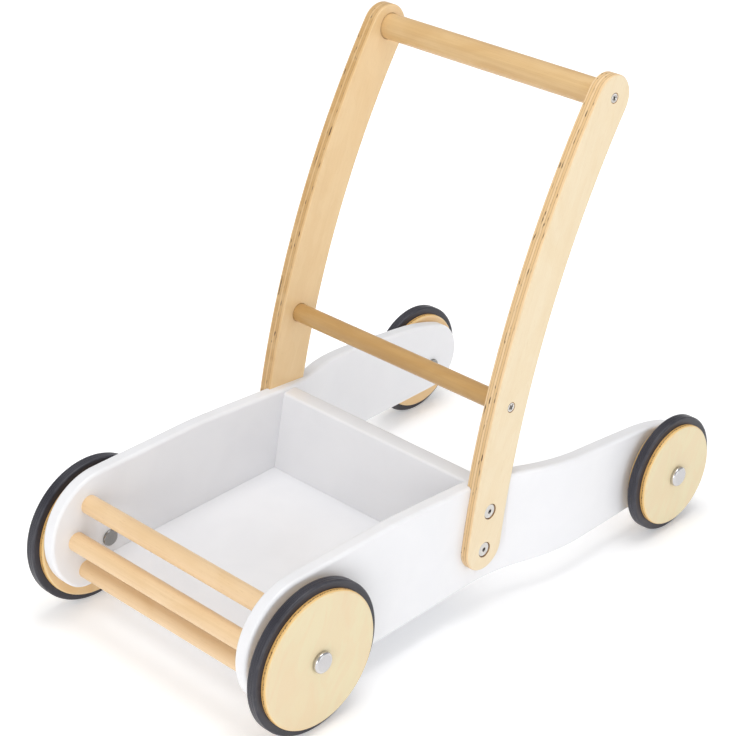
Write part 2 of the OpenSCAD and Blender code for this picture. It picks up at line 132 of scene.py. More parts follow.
# Long wood fibres along the first axis of the given vector, with short dark flecks and contour rings
grainLook = {
    "fibre": (9, 620, 620), "band": (3.5, 120, 120), "figure": (14, 34, 34), "dash": (130, 1500, 1500),
    "fibreShare": 0.55, "bandShare": 0.45, "streakFade": (0.33, 0.68), "figureFade": (0.3, 0.72),
    "rings": 7.0, "ringFade": (0.25, 0.5), "fleckFade": (0.64, 0.76), "dashDepth": 0.4,
}
grainGroup, gIn, gOut = newGroup(
    "woodGrain",
    [("Vector", vectorSocket)],
    [("Streak", floatSocket), ("Figure", floatSocket), ("Contour", floatSocket), ("Fleck", floatSocket),
     ("Height", floatSocket)],
)
tree, g = grainGroup, grainLook
fibre = noise(tree, stretch(tree, gIn[0], g["fibre"]), 1.0, 4.0, 0.6)
band = noise(tree, stretch(tree, gIn[0], g["band"]), 1.0, 3.0, 0.5, 0.6)
figure = noise(tree, stretch(tree, gIn[0], g["figure"]), 1.0, 2.0, 0.5, 1.2)
dash = noise(tree, stretch(tree, gIn[0], g["dash"]), 1.0, 1.0, 0.5)
broad = calc(tree, "MULTIPLY", band, g["bandShare"])
streak = calc(tree, "ADD", calc(tree, "MULTIPLY", fibre, g["fibreShare"]), broad)
contour = calc(tree, "PINGPONG", calc(tree, "MULTIPLY", figure, g["rings"]), 0.5)
tree.links.new(fade(tree, streak, *g["streakFade"]), gOut["Streak"])
tree.links.new(fade(tree, figure, *g["figureFade"]), gOut["Figure"])
tree.links.new(fade(tree, contour, *g["ringFade"]), gOut["Contour"])
tree.links.new(fade(tree, dash, *g["fleckFade"]), gOut["Fleck"])
tree.links.new(calc(tree, "SUBTRACT", fibre, calc(tree, "MULTIPLY", dash, g["dashDepth"])), gOut["Height"])

# Cut edge of plywood: alternate plies, brown glue lines and gaps in the core, their darkness painted shade,
# in millimetres of depth
plyLook = {
    "waveScale": 55.0, "wave": 0.45, "lineFade": (0.06, 0.42), "skinShare": 0.55, "fibre": (900, 420, 420),
    "gapSoft": 0.045, "gapFade": (0.95, 0.35), "glueSpread": (0.35, 1.25),
    "glueDepth": 0.25, "fibreHeight": 0.18,
}
plyGroup, gIn, gOut = newGroup(
    "plywoodEdge",
    [("Vector", vectorSocket), ("Start", floatSocket), ("Ply", floatSocket), ("Thick", floatSocket),
     ("Gaps", vectorSocket), ("Open", floatSocket)],
    [("Cross", floatSocket), ("Glue", floatSocket), ("Gap", floatSocket), ("Height", floatSocket)],
)
tree, p = plyGroup, plyLook
across = node(tree, "ShaderNodeSeparateXYZ", {0: gIn["Vector"]}).outputs[0]
wave = spread(tree, noise(tree, gIn["Vector"], p["waveScale"], 2.0), -p["wave"], p["wave"])
depth = calc(tree, "SUBTRACT", calc(tree, "MULTIPLY", calc(tree, "ABSOLUTE", across), 1 / mm), gIn["Start"])
wavy = calc(tree, "ADD", depth, wave)
ply = calc(tree, "DIVIDE", wavy, gIn["Ply"])
part = calc(tree, "FRACT", ply)
cross = calc(tree, "MODULO", calc(tree, "FLOOR", ply), 2.0)
near = calc(tree, "MULTIPLY", calc(tree, "MINIMUM", part, calc(tree, "SUBTRACT", 1.0, part)), gIn["Ply"])
line = calc(tree, "SUBTRACT", 1.0, fade(tree, near, *p["lineFade"]))
skin = calc(tree, "MULTIPLY", gIn["Ply"], p["skinShare"])
inner = calc(tree, "MINIMUM", depth, calc(tree, "SUBTRACT", gIn["Thick"], depth))
core = calc(tree, "GREATER_THAN", inner, skin)
fibre = noise(tree, stretch(tree, gIn["Vector"], p["fibre"]), 1.0, 3.0)
holes = noise(tree, gIn["Gaps"], 1.0, 1.0, 0.4)
deep = calc(tree, "ADD", gIn["Open"], p["gapSoft"])
inputs = {"Value": holes, "From Min": gIn["Open"], "From Max": deep}
gap = node(tree, "ShaderNodeMapRange", inputs).outputs[0]
gap = calc(tree, "MULTIPLY", calc(tree, "MULTIPLY", gap, core), fade(tree, near, *p["gapFade"]))
glue = calc(tree, "MULTIPLY", calc(tree, "MULTIPLY", line, core), spread(tree, fibre, *p["glueSpread"]))
tree.links.new(cross, gOut["Cross"])
tree.links.new(glue, gOut["Glue"])
tree.links.new(gap, gOut["Gap"])
low = calc(tree, "ADD", calc(tree, "MULTIPLY", glue, p["glueDepth"]), gap)
tree.links.new(calc(tree, "SUBTRACT", calc(tree, "MULTIPLY", fibre, p["fibreHeight"]), low), gOut["Height"])

# Rubbed edges: the band left on each piece's rounded edges, broken up
wearLook = {"scale": 70.0, "patchFade": (0.4, 0.68), "bandFade": (0.35, 1.0)}
wearGroup, gIn, gOut = newGroup("edgeWear", [("Vector", vectorSocket)], [("Mask", floatSocket)])
tree = wearGroup
band = node(tree, "ShaderNodeAttribute", attribute_name="edge").outputs["Fac"]
patch = fade(tree, noise(tree, gIn[0], wearLook["scale"], 4.0, 0.65), *wearLook["patchFade"])
tree.links.new(calc(tree, "MULTIPLY", fade(tree, band, *wearLook["bandFade"]), patch), gOut["Mask"])

# Fine unevenness of a sprayed or moulded skin
skinLook = {"peel": 520.0, "cloud": 17.0, "speck": 2100.0, "cloudFade": (0.3, 0.7)}
skinGroup, gIn, gOut = newGroup(
    "fineSkin", [("Vector", vectorSocket)],
    [("Peel", floatSocket), ("Cloud", floatSocket), ("Speck", floatSocket)],
)
tree = skinGroup
peel = noise(tree, gIn[0], skinLook["peel"], 2.0, 0.5)
cloud = noise(tree, gIn[0], skinLook["cloud"], 3.0, 0.55, 0.4)
speck = noise(tree, gIn[0], skinLook["speck"], 1.0, 0.5)
tree.links.new(peel, gOut["Peel"])
tree.links.new(fade(tree, cloud, *skinLook["cloudFade"]), gOut["Cloud"])
tree.links.new(speck, gOut["Speck"])

print("stage: materials")

# White lacquer on the panels
lacquerLook = {
    "light": (0.83, 0.831, 0.85, 1), "shade": (0.802, 0.804, 0.826, 1), "worn": (0.78, 0.77, 0.765, 1),
    "rough": (0.30, 0.44), "wornShare": 0.3, "fibreShare": 0.35, "bumpDepth": 0.00006, "bumpShare": 0.5,
}
lacquer, tree, shader = newMaterial(
    "whiteLacquer", {"IOR": 1.48, "Coat Weight": 0.18, "Coat Roughness": 0.22}
)
skin = useGroup(tree, skinGroup, {0: place(tree)})
worn = useGroup(tree, wearGroup, {0: place(tree)})["Mask"]
fibres = useGroup(tree, grainGroup, {0: stretch(tree, place(tree), (1, 1, 1), (0, 0, math.radians(-90)))})
colour = tint(tree, skin["Cloud"], lacquerLook["shade"], lacquerLook["light"])
colour = cover(tree, colour, lacquerLook["worn"], worn, lacquerLook["wornShare"])
paint(tree, shader, colour, spread(tree, skin["Cloud"], *lacquerLook["rough"]))
height = calc(tree, "ADD", skin["Peel"], calc(tree, "MULTIPLY", fibres["Height"], lacquerLook["fibreShare"]))
bump(tree, shader, height, lacquerLook["bumpDepth"], lacquerLook["bumpShare"])

veneerTurn = math.radians(-68.3)  # the boards' grain follows the lean of the uprights


def plywood(name, look):
    # Veneer on the flat faces and plies on the cut edges
    material, tree, shader = newMaterial(name, {"IOR": 1.46, "Coat Weight": 0.12, "Coat Roughness": 0.3})
    here = place(tree)
    long = stretch(tree, here, (1, 1, 1), (look["turn"], 0, math.radians(-90)), look["shift"])
    grain = useGroup(tree, grainGroup, {0: long})
    skin = useGroup(tree, skinGroup, {0: here})
    worn = useGroup(tree, wearGroup, {0: here})["Mask"]
    holes = stretch(tree, long, look["holes"])
    edge = useGroup(tree, plyGroup, {
        "Vector": here, "Start": look["start"], "Ply": look["ply"], "Thick": look["thick"],
        "Gaps": holes, "Open": look["open"],
    })
    veneer = tint(tree, grain["Figure"], look["pale"], look["warm"])
    veneer = cover(tree, veneer, look["streak"], grain["Streak"], look["streakShare"])
    veneer = cover(tree, veneer, look["streak"], grain["Contour"], look["contourShare"])
    veneer = cover(tree, veneer, look["fleck"], grain["Fleck"], look["fleckShare"])
    cut = tint(tree, edge["Cross"], look["along"], look["end"])
    cut = cover(tree, cut, look["end"], grain["Streak"], look["endShare"])
    cut = cover(tree, cut, look["glue"], edge["Glue"], look["glueShare"])
    # The gaps in the core are painted dark: painted shade in the hollows
    cut = tint(tree, edge["Gap"], cut, look["gap"])
    facing = node(tree, "ShaderNodeNewGeometry").outputs["Normal"]
    facing = node(tree, "ShaderNodeSeparateXYZ", {0: facing}).outputs[0]
    flat = fade(tree, calc(tree, "ABSOLUTE", facing), *look["flatFade"])
    colour = cover(tree, tint(tree, flat, cut, veneer), look["worn"], worn, look["wornShare"])
    coarse = calc(tree, "MULTIPLY", edge["Gap"], look["gapRough"])
    paint(tree, shader, colour, calc(tree, "ADD", spread(tree, skin["Cloud"], *look["rough"]), coarse))
    faceHeight = calc(tree, "MULTIPLY", grain["Height"], look["faceHeight"])
    height = node(tree, "ShaderNodeMix", {0: flat, 2: edge["Height"], 3: faceHeight}).outputs[0]
    bump(tree, shader, height, look["bumpDepth"], look["bumpShare"])
    return material


uprightLook = {
    "turn": veneerTurn, "shift": (0.0, 0.0, 0.0),
    "start": 125.5, "ply": 2.7, "thick": 13.5, "open": 0.645,
    "holes": (95, 420, 300),
    "pale": (0.825, 0.698, 0.488, 1), "warm": (0.805, 0.662, 0.44, 1),
    "streak": (0.76, 0.58, 0.35, 1), "streakShare": 0.26, "contourShare": 0.10,
    "fleck": (0.62, 0.42, 0.22, 1), "fleckShare": 0.22,
    "along": (0.80, 0.57, 0.32, 1), "end": (0.72, 0.485, 0.24, 1), "endShare": 0.3,
    "glue": (0.25, 0.12, 0.038, 1), "glueShare": 0.75, "gap": (0.035, 0.017, 0.008, 1),
    "worn": (0.70, 0.50, 0.27, 1), "wornShare": 0.35, "flatFade": (0.55, 0.9),
    "rough": (0.36, 0.48), "gapRough": 0.4, "faceHeight": 0.16, "bumpDepth": 0.0006, "bumpShare": 0.6,
}
rightUprightWood = plywood("birchRightUpright", uprightLook)
# A darker, more orange copy of the veneer for the left upright: painted shade
leftUprightShadedLook = dict(
    uprightLook, shift=(0.53, 0.0, 0.17), pale=(0.83, 0.61, 0.342, 1), warm=(0.80, 0.568, 0.302, 1),
    streak=(0.73, 0.50, 0.25, 1), along=(0.67, 0.435, 0.20, 1), end=(0.55, 0.33, 0.125, 1),
)
leftUprightShadedWood = plywood("birchLeftUprightShaded", leftUprightShadedLook)

frontWheelLook = dict(
    uprightLook, start=132.6, ply=2.93, thick=20.5, open=0.545,
    holes=(820, 860, 820), shift=(0.31, 0.12, 0.05), gap=(0.13, 0.06, 0.022, 1),
    pale=(0.745, 0.655, 0.425, 1), warm=(0.75, 0.605, 0.39, 1),
    streakShare=0.08, fleckShare=0.08, contourShare=0.2,
    along=(0.80, 0.53, 0.21, 1), end=(0.72, 0.42, 0.135, 1), worn=(0.80, 0.55, 0.25, 1),
)
frontWheelWood = plywood("birchFrontWheel", frontWheelLook)
rearWheelLook = dict(frontWheelLook, start=156.6, shift=(0.77, 0.41, 0.22))
rearWheelWood = plywood("birchRearWheel", rearWheelLook)
# The face towards the panel gets a redder, darker copy of the veneer: painted shade and painted reflected
# warmth
innerShadedVeneer = {"pale": (0.79, 0.545, 0.275, 1), "warm": (0.77, 0.50, 0.235, 1)}
frontInnerShadedWood = plywood("birchFrontWheelInnerShaded", dict(frontWheelLook, **innerShadedVeneer))
rearInnerShadedWood = plywood("birchRearWheelInnerShaded", dict(rearWheelLook, **innerShadedVeneer))


def turnedWood(name, look):
    material, tree, shader = newMaterial(name, {"IOR": 1.46, "Coat Weight": 0.15, "Coat Roughness": 0.28})
    here = stretch(tree, place(tree), (1, 1, 1), (0, 0, 0), look["shift"])
    grain = useGroup(tree, grainGroup, {0: here})
    skin = useGroup(tree, skinGroup, {0: here})
    worn = useGroup(tree, wearGroup, {0: here})["Mask"]
    colour = tint(tree, grain["Figure"], look["pale"], look["warm"])
    colour = cover(tree, colour, look["streak"], grain["Streak"], look["streakShare"])
    colour = cover(tree, colour, look["fleck"], grain["Fleck"], look["fleckShare"])
    colour = cover(tree, colour, look["fleck"], worn, look["wornShare"])
    paint(tree, shader, colour, spread(tree, skin["Cloud"], *look["rough"]))
    bump(tree, shader, grain["Height"], look["bumpDepth"], look["bumpShare"])
    return material


dowelLook = {
    "shift": (0.0, 0.0, 0.0), "pale": (0.83, 0.605, 0.362, 1), "warm": (0.79, 0.555, 0.31, 1),
    "streak": (0.60, 0.39, 0.20, 1), "streakShare": 0.26, "fleck": (0.52, 0.32, 0.15, 1), "fleckShare": 0.3,
    "wornShare": 0.3, "rough": (0.34, 0.48), "bumpDepth": 0.00012, "bumpShare": 0.7,
}
dowelWood = turnedWood("beechDowel", dowelLook)
barLook = dict(
    dowelLook, shift=(0.4, 0.02, 0.01), pale=(0.69, 0.472, 0.23, 1), warm=(0.63, 0.406, 0.179, 1),
    streak=(0.50, 0.30, 0.12, 1), streakShare=0.40, fleckShare=0.4,
)
handleWood = turnedWood("beechHandle", barLook)
# A darker copy of the bar wood for the cross bar: painted shade
crossShadedLook = dict(
    barLook, shift=(0.9, 0.05, 0.03), pale=(0.54, 0.33, 0.125, 1), warm=(0.485, 0.28, 0.095, 1),
    streak=(0.41, 0.24, 0.09, 1),
)
crossShadedWood = turnedWood("beechCrossShaded", crossShadedLook)

# Wall of a drilled seat: scorched, and darkened further with painted shade
boreScorchAndShadeLook = {
    "dark": (0.26, 0.135, 0.055, 1), "light": (0.52, 0.32, 0.15, 1), "rough": (0.55, 0.75),
    "bumpDepth": 0.0002, "bumpShare": 0.6,
}
boreScorchAndShadeWood, tree, shader = newMaterial("drilledBirchScorchAndShade", {"IOR": 1.46})
grain = useGroup(tree, grainGroup, {0: place(tree)})
colour = tint(tree, grain["Streak"], boreScorchAndShadeLook["dark"], boreScorchAndShadeLook["light"])
paint(tree, shader, colour, spread(tree, grain["Figure"], *boreScorchAndShadeLook["rough"]))
bump(tree, shader, grain["Height"], boreScorchAndShadeLook["bumpDepth"], boreScorchAndShadeLook["bumpShare"])

# Solid rubber, dusty on its shoulders
rubberLook = {
    "dark": (0.025, 0.0245, 0.034, 1), "light": (0.038, 0.0375, 0.050, 1), "rough": (0.30, 0.44),
    "dust": (0.085, 0.083, 0.09, 1), "dustShare": 0.35, "speckShare": 0.6,
    "bumpDepth": 0.00012, "bumpShare": 0.5,
}
rubber, tree, shader = newMaterial("tyreRubber", {"IOR": 1.5, "Specular IOR Level": 0.4})
skin = useGroup(tree, skinGroup, {0: place(tree)})
worn = useGroup(tree, wearGroup, {0: place(tree)})["Mask"]
colour = tint(tree, skin["Cloud"], rubberLook["dark"], rubberLook["light"])
colour = cover(tree, colour, rubberLook["dust"], worn, rubberLook["dustShare"])
paint(tree, shader, colour, spread(tree, skin["Cloud"], *rubberLook["rough"]))
height = calc(tree, "ADD", skin["Peel"], calc(tree, "MULTIPLY", skin["Speck"], rubberLook["speckShare"]))
bump(tree, shader, height, rubberLook["bumpDepth"], rubberLook["bumpShare"])


platedLook = {"rimShare": 0.5, "peelShare": 0.5, "cloudShare": 0.5, "bumpDepth": 0.00001, "bumpShare": 0.3}


def plated(name, look):
    # Plated steel with fine rubbing marks
    p = platedLook
    material, tree, shader = newMaterial(name, {"Metallic": 1.0})
    skin = useGroup(tree, skinGroup, {0: place(tree)})
    worn = useGroup(tree, wearGroup, {0: place(tree)})["Mask"]
    colour = tint(tree, skin["Cloud"], look["shade"], look["light"])
    colour = cover(tree, colour, look["rim"], worn, p["rimShare"])
    cloudy = calc(tree, "MULTIPLY", skin["Cloud"], p["cloudShare"])
    marks = calc(tree, "ADD", calc(tree, "MULTIPLY", skin["Peel"], p["peelShare"]), cloudy)
    paint(tree, shader, colour, spread(tree, marks, *look["rough"]))
    bump(tree, shader, skin["Peel"], p["bumpDepth"], p["bumpShare"])
    return material


steelLook = {
    "light": (0.59, 0.58, 0.59, 1), "shade": (0.475, 0.47, 0.48, 1), "rim": (0.70, 0.69, 0.70, 1),
    "rough": (0.07, 0.20),
}
steel = plated("platedSteel", steelLook)
# A rougher, darker copy of the plated steel for the caps inside the tray; its darkness is painted shade
dullShadedCapLook = {
    "light": (0.34, 0.335, 0.32, 1), "shade": (0.285, 0.28, 0.27, 1), "rim": (0.54, 0.53, 0.52, 1),
    "rough": (0.16, 0.30),
}
dullShadedCapSteel = plated("dullShadedCapSteel", dullShadedCapLook)
# Plated steel for the bolts and screws; the darker rim colour on the rounded edges of their heads is painted
# shade
boltLook = {
    "light": (0.71, 0.69, 0.655, 1), "shade": (0.60, 0.58, 0.55, 1), "rim": (0.47, 0.455, 0.43, 1),
    "rough": (0.12, 0.26),
}
boltSteel = plated("boltSteel", boltLook)
# Dark steel for the tool recesses: painted shade
recessPaintedShadeLook = {
    "light": (0.23, 0.22, 0.21, 1), "shade": (0.14, 0.135, 0.13, 1), "rim": (0.30, 0.29, 0.28, 1),
    "rough": (0.30, 0.46),
}
recessPaintedShadeSteel = plated("recessPaintedShadeSteel", recessPaintedShadeLook)

# Natural nylon of the bearing bushes
nylonLook = {
    "light": (0.84, 0.83, 0.78, 1), "shade": (0.76, 0.75, 0.69, 1), "rough": (0.38, 0.52),
    "bumpDepth": 0.00008, "bumpShare": 0.5,
}
nylon, tree, shader = newMaterial("naturalNylon", {"IOR": 1.53})
skin = useGroup(tree, skinGroup, {0: place(tree)})
colour = tint(tree, skin["Cloud"], nylonLook["shade"], nylonLook["light"])
paint(tree, shader, colour, spread(tree, skin["Cloud"], *nylonLook["rough"]))
bump(tree, shader, skin["Peel"], nylonLook["bumpDepth"], nylonLook["bumpShare"])

# Mesh helpers

meshLook = {"weld": 0.002, "crease": 34.0, "normalWeight": 60, "supportShare": 0.6, "supportMost": 1.0}


def loose(name, bm, materials=(), crease=meshLook["crease"]):
    # Turns a finished mesh in millimetres into an object in metres
    bmesh.ops.remove_doubles(bm, verts=bm.verts, dist=meshLook["weld"])
    bmesh.ops.recalc_face_normals(bm, faces=bm.faces)
    bmesh.ops.scale(bm, vec=(mm, mm, mm), verts=bm.verts)
    mesh = bpy.data.meshes.new(name)
    bm.to_mesh(mesh)
    bm.free()
    piece = bpy.data.objects.new(name, mesh)
    bpy.context.collection.objects.link(piece)
    for material in materials:
        mesh.materials.append(material)
    shade(piece, crease)
    return piece


def finished(name, bm, materials, body, nodes, crease=meshLook["crease"]):
    # A piece that stands for CAD nodes and moves with their body
    piece = loose(name, bm, materials, crease)
    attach(piece, body)
    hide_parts(*nodes)
    return piece


def shade(piece, crease):
    # Smooth faces, with edges steeper than the crease kept sharp
    for face in piece.data.polygons:
        face.use_smooth = True
    piece.data.set_sharp_from_angle(angle=math.radians(crease))
    even = piece.modifiers.new("evenNormals", "WEIGHTED_NORMAL")
    even.keep_sharp = True
    even.weight = meshLook["normalWeight"]


def drop(thing):
    mesh = thing.data
    bpy.data.objects.remove(thing)
    bpy.data.meshes.remove(mesh)


def carve(piece, cutters, crease=meshLook["crease"]):
    # Cuts the cutters out of a piece for good
    piece.modifiers.clear()
    for cutter in cutters:
        cut = piece.modifiers.new("cut", "BOOLEAN")
        cut.operation = "DIFFERENCE"
        cut.solver = "EXACT"
        cut.object = cutter
    graph = bpy.context.evaluated_depsgraph_get()
    shaped = bpy.data.meshes.new_from_object(
        piece.evaluated_get(graph), preserve_all_data_layers=True, depsgraph=graph
    )
    piece.modifiers.clear()
    old = piece.data
    piece.data = shaped
    shaped.name = piece.name
    bpy.data.meshes.remove(old)
    for cutter in cutters:
        drop(cutter)
    shade(piece, crease)


def softCorners(corners, closed, steps):
    # Rounds each (a, b, radius) corner of a section, and marks the rounded points
    points = []
    count = len(corners)
    for i, (a, b, r) in enumerate(corners):
        here = Vector((a, b))
        if r <= 0 or (not closed and i in (0, count - 1)):
            points.append((here, 0.0))
            continue
        toward = (Vector(corners[i - 1][:2]) - here).normalized()
        onward = (Vector(corners[(i + 1) % count][:2]) - here).normalized()
        half = toward.angle(onward) / 2
        centre = here + (toward + onward).normalized() * (r / math.sin(half))
        start = here + toward * (r / math.tan(half)) - centre
        end = here + onward * (r / math.tan(half)) - centre
        first = math.atan2(start.y, start.x)
        sweep = math.atan2(end.y, end.x) - first
        sweep = (sweep + math.pi) % (2 * math.pi) - math.pi
        support = min(meshLook["supportShare"] * r, meshLook["supportMost"])
        points.append((centre + start + toward * support, 0.0))
        for k in range(steps + 1):
            turn = first + sweep * k / steps
            points.append((centre + r * Vector((math.cos(turn), math.sin(turn))), 1.0))
        points.append((centre + end + onward * support, 0.0))
    return points


def turned(section, at, side, sides, closed=False):
    # Lathe: (radius, x) points round an axle or bar at (y, z)
    bm = bmesh.new()
    edge = bm.verts.layers.float.new("edge")
    rings = []
    for (r, x), mark in section:
        if r < 1e-6:
            ring = [bm.verts.new((side * x, at[0], at[1]))]
        else:
            ring = []
            for k in range(sides):
                turn = 2 * math.pi * k / sides
                y, z = at[0] + r * math.cos(turn), at[1] + r * math.sin(turn)
                ring.append(bm.verts.new((side * x, y, z)))
        for vert in ring:
            vert[edge] = mark
        rings.append(ring)
    pairs = list(zip(rings, rings[1:]))
    if closed:
        pairs.append((rings[-1], rings[0]))
    for a, b in pairs:
        for k in range(sides):
            loop = [a[k % len(a)], a[(k + 1) % len(a)], b[(k + 1) % len(b)], b[k % len(b)]]
            loop = list(dict.fromkeys(loop))
            if len(loop) > 2:
                bm.faces.new(loop)
    return bm


def walled(bm, rings):
    # Walls between rings of equal length, with a flat face at each end
    count = len(rings[0])
    for a, b in zip(rings, rings[1:]):
        for k in range(count):
            n = (k + 1) % count
            bm.faces.new((a[k], a[n], b[n], b[k]))
    bm.faces.new(rings[0])
    bm.faces.new(rings[-1])


def slab(outline, near, far, edgeR, steps=5, support=1.2):
    # Board from an outline of (y, z, outward normal) points, with rounded edges, lying from x near to far
    rings = [(near, edgeR + support, 0.0)]
    for k in range(steps, -1, -1):
        turn = math.pi / 2 * k / steps
        rings.append((near + edgeR * (1 - math.sin(turn)), edgeR * (1 - math.cos(turn)), 1.0))
    rings += [(near + far - x, inset, mark) for x, inset, mark in reversed(rings)]
    bm = bmesh.new()
    edge = bm.verts.layers.float.new("edge")
    made = []
    for x, inset, mark in rings:
        ring = []
        for y, z, ny, nz in outline:
            vert = bm.verts.new((x, y - inset * ny, z - inset * nz))
            vert[edge] = mark
            ring.append(vert)
        made.append(ring)
    walled(bm, made)
    return bm


def arcPoints(centre, r, first, last, steps, inward=1):
    points = []
    for k in range(steps + 1):
        turn = math.radians(first + (last - first) * k / steps)
        c, s = math.cos(turn), math.sin(turn)
        points.append((centre[0] + r * c, centre[1] + r * s, inward * c, inward * s))
    return points


def mirror(bm):
    # The left-hand piece is the right-hand one mirrored
    bmesh.ops.scale(bm, vec=(-1, 1, 1), verts=bm.verts)


print("stage: side panels")

panelLook = {
    "thick": 14.0, "edge": 3.2, "front": 124.0, "rear": 148.0,
    "bendFrom": -11.0, "bendTo": 121.0, "bendR": 187.5, "bendSine": 0.352, "bendStep": 3.0,
    "top": 143.0, "bottom": 31.0,
    "nose": (-227.5, 83.0), "noseR": 60.0, "filletR": 30.0,
    "slopeFrom": (-110.5, 143.0), "slopeR": 260.0, "crownR": 5000.0,
    "tail": (238.0, 67.0), "tailR": 36.0, "lineR": 41.0, "shoulderRun": 43.0,
}


def panelX(y, n):
    # Where a layer n from the panel's middle lies, along the double bend
    p = panelLook
    r = p["bendR"]
    if y <= p["bendFrom"]:
        return p["front"] + n
    if y >= p["bendTo"]:
        return p["rear"] + n
    if y < p["bendFrom"] + (r - n) * p["bendSine"]:
        return p["front"] + r - math.sqrt((r - n) ** 2 - (y - p["bendFrom"]) ** 2)
    return p["rear"] - r + math.sqrt((r + n) ** 2 - (p["bendTo"] - y) ** 2)


def panelOutline():
    p = panelLook
    nose, tail, start = Vector(p["nose"]), Vector(p["tail"]), Vector(p["slopeFrom"])
    rise = p["bottom"] + p["filletR"] - nose.y
    fillet = nose + Vector((-math.sqrt((p["noseR"] - p["filletR"]) ** 2 - rise ** 2), rise))
    meet = math.degrees(math.atan2(fillet.y - nose.y, fillet.x - nose.x)) % 360
    # The falling edge is a slight crown that runs into the shoulder
    run = tail - start
    ahead = run.normalized()
    r, reach = p["crownR"], p["crownR"] - p["lineR"]
    along = (run.length + (r ** 2 - reach ** 2) / run.length) / 2
    crown = start + along * ahead + math.sqrt(r ** 2 - along ** 2) * Vector((ahead.y, -ahead.x))
    endUp = math.atan2(tail.y - crown.y, tail.x - crown.x) + p["shoulderRun"] / r
    startUp = math.atan2(start.y - crown.y, start.x - crown.x)
    up = Vector((math.cos(endUp), math.sin(endUp)))
    slopeTo = crown + r * up
    off = slopeTo - tail
    shoulderR = (off.length_squared - p["tailR"] ** 2) / (2 * (off.dot(up) - p["tailR"]))
    shoulder = slopeTo - shoulderR * up
    touch = math.degrees(math.atan2(tail.y - shoulder.y, tail.x - shoulder.x))
    easeR = p["slopeR"]
    ease = easeR * math.tan((math.pi / 2 - startUp) / 2)
    points = arcPoints(nose, p["noseR"], 90, meet, 44)[:-1]
    points += arcPoints(fillet, p["filletR"], meet, 270, 12)
    points += arcPoints(tail, p["tailR"], -90, touch, 44)[:-1]
    points += arcPoints(shoulder, shoulderR, touch, math.degrees(endUp), 14)[:-1]
    points += arcPoints(crown, r, math.degrees(endUp), math.degrees(startUp - ease / r), 24)[:-1]
    points += arcPoints((start.x - ease, p["top"] - easeR), easeR, math.degrees(startUp), 90, 6)
    return points


def sidePanel(name, cadNode, left):
    p = panelLook
    half = p["thick"] / 2
    bm = slab(panelOutline(), -half, half, p["edge"])
    y = p["bendFrom"]
    while y <= p["bendTo"] + 0.01:
        parts = bm.verts[:] + bm.edges[:] + bm.faces[:]
        bmesh.ops.bisect_plane(bm, geom=parts, dist=1e-4, plane_co=(0, y, 0), plane_no=(0, 1, 0))
        y += p["bendStep"]
    for vert in bm.verts:
        vert.co.x = panelX(vert.co.y, vert.co.x)
    if left:
        mirror(bm)
    return finished(name, bm, [lacquer], "frame", [cadNode])


# The uprights: curved boards with round ends
uprightBoard = {
    "near": 125.5, "far": 139.0, "half": 22.75, "endInset": 2.2, "edge": 1.7, "curveR": 925.0,
    "centre": (913.1, -69.3), "pocketGap": 0.12, "pocketTo": 175.0, "pocketEdge": 0.3,
    "bolts": [(-1.5, 69.0), (4.95, 106.45)], "boltSeat": 135.8, "seatR": 7.6,
    "cross": (29.2, 203.4), "handle": (152.7, 457.4), "crossR": 9.35, "handleR": 12.75, "socket": 129.5,
    "screwHeadR": 5.0, "screwR": 2.3, "screwCone": 2.4, "cutFrom": 120.0, "cutTo": 142.0,
    "faceSkin": 0.01, "wallSkin": 0.05,
}


def curveLean(at):
    c = uprightBoard["centre"]
    return math.degrees(math.atan2(at[1] - c[1], c[0] - at[0]))


def uprightOutline(grow=0.0):
    u = uprightBoard
    half = u["half"] + grow
    inset = math.degrees(u["endInset"] / u["curveR"])
    low, high = 180 - curveLean(u["bolts"][0]) - inset, 180 - curveLean(u["handle"]) + inset
    foot, top = arcPoints(u["centre"], u["curveR"], low, high, 1)
    points = arcPoints(u["centre"], u["curveR"] + half, high, low, 48)[:-1]
    points += arcPoints(foot, half, low, low + 180, 28)[:-1]
    points += arcPoints(u["centre"], u["curveR"] - half, low, high, 48, -1)[:-1]
    points += arcPoints(top, half, high - 180, high, 28)[:-1]
    return points


def upright(name, cadNode, left):
    u = uprightBoard
    bm = slab(uprightOutline(), u["near"], u["far"], u["edge"], steps=4, support=0.8)
    if left:
        mirror(bm)
    wood = leftUprightShadedWood if left else rightUprightWood
    piece = finished(name, bm, [wood, boreScorchAndShadeWood], "frame", [cadNode])
    side = -1 if left else 1
    seat, seatR, out = u["boltSeat"], u["seatR"], u["cutTo"]
    cutters = [plug([(0, seat), (seatR, seat), (seatR, out), (0, out)], at, side) for at in u["bolts"]]
    # One cutter per bar: its socket, the screw's hole and a countersink that runs on past the face
    cone, holeR, flare = u["screwCone"], u["screwR"], (u["screwHeadR"] - u["screwR"]) / 2
    start, floor, top = u["cutFrom"], u["socket"], u["far"] + cone / 2
    bars = [(u["cross"], u["crossR"]), (u["handle"], u["handleR"])]
    for at, r in bars:
        section = [(0, start), (r, start), (r, floor), (holeR, floor), (holeR, u["far"] - cone),
                   (u["screwHeadR"] + flare, top), (0, top)]
        cutters.append(plug(section, at, side))
    carve(piece, cutters)
    # The walls of the seats are darker than the faces: scorched wood with painted shade
    seats = [(at, seatR) for at in u["bolts"]] + bars
    for face in piece.data.polygons:
        x, y, z = face.center / mm
        inside = u["near"] + u["faceSkin"] < abs(x) < u["far"] - u["faceSkin"]
        if inside and any(math.hypot(y - at[0], z - at[1]) < r + u["wallSkin"] for at, r in seats):
            face.material_index = 1


def plug(section, at, side):
    # Round cutter from a section of (radius, x) points
    points = [(Vector(p), 0.0) for p in section]
    return loose("cutter", turned(points, at, side, 56))


